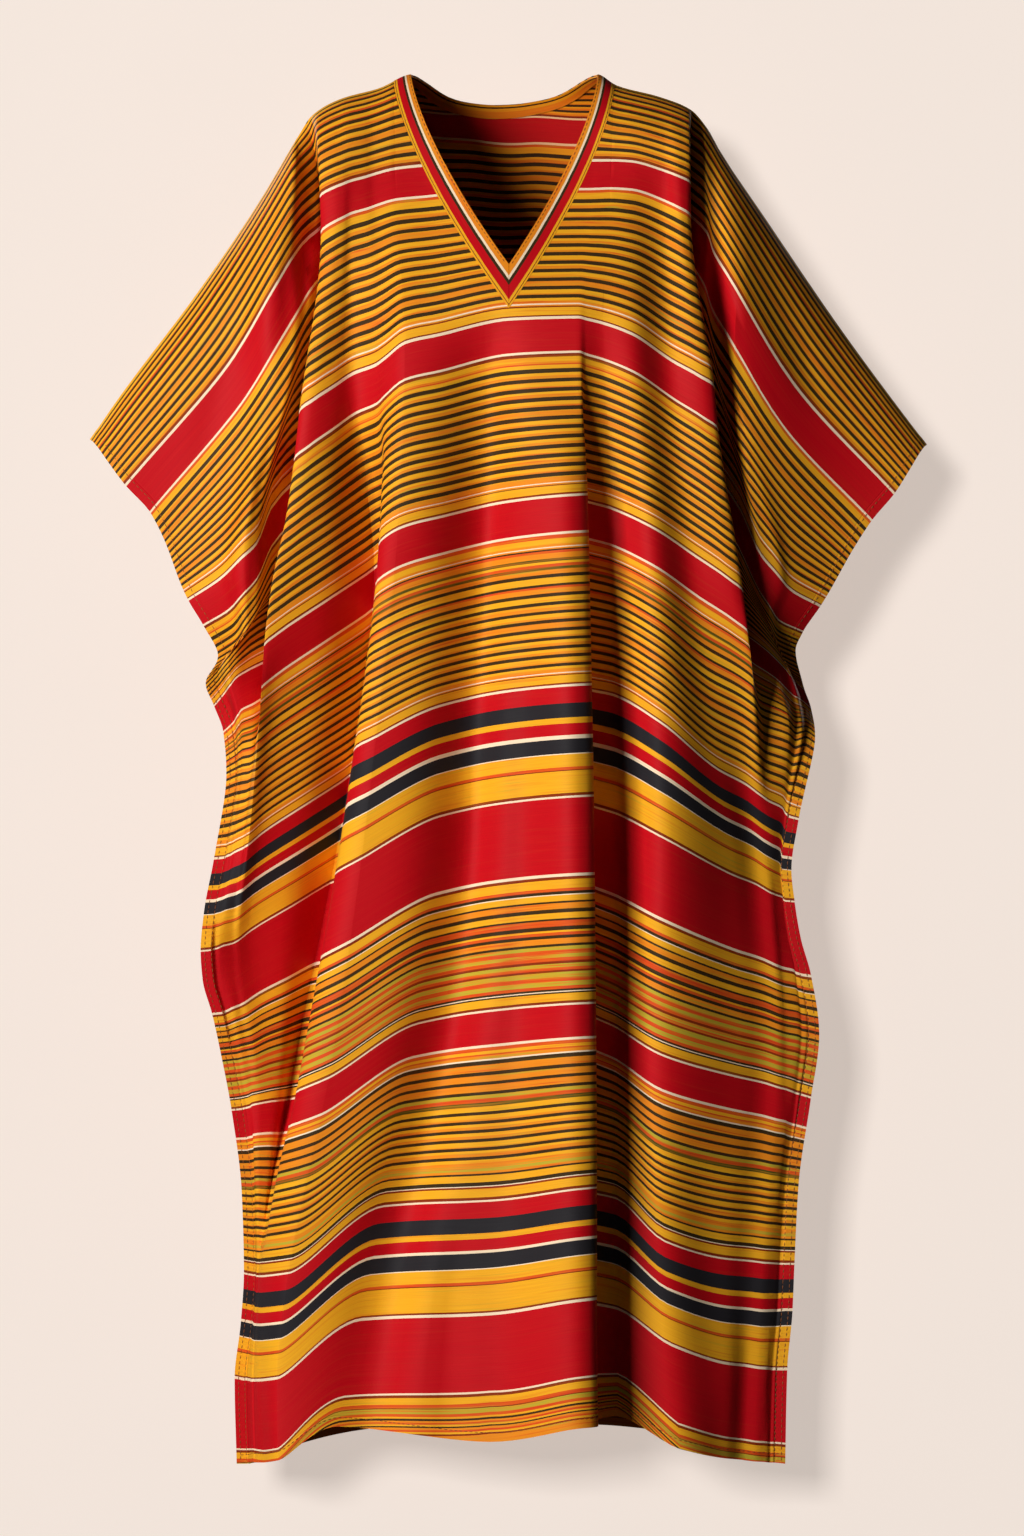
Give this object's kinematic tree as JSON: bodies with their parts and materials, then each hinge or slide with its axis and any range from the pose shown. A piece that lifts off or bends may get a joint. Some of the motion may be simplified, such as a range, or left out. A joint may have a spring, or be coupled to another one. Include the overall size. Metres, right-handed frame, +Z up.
{
  "type": "kaftan",
  "caption": "Wide ankle-length kaftan with a V neck and open cuffs, in cloth woven with crosswise stripes, hollow and held in the shape it has when worn",
  "frame": {"origin": "middle of the line between the two points where the neck meets the shoulders, where the wearer's shoulders hold the garment up", "axes": "+Z up, the front faces -Y, +X is on the right of someone who looks at the front"},
  "size_m": [0.8122, 0.3054, 1.3537],
  "materials": {
    "striped_cloth": "woven stripes with a soft sheen",
    "band_cloth": "woven stripes with a soft sheen",
    "facing_cloth": "woven stripes with a soft sheen"
  },
  "bodies": {
    "root": {"front_panel": "striped_cloth", "back_panel": "striped_cloth", "neck_band_left": "band_cloth", "neck_band_right": "band_cloth", "back_neck_facing": "facing_cloth"}
  },
  "joints": []
}
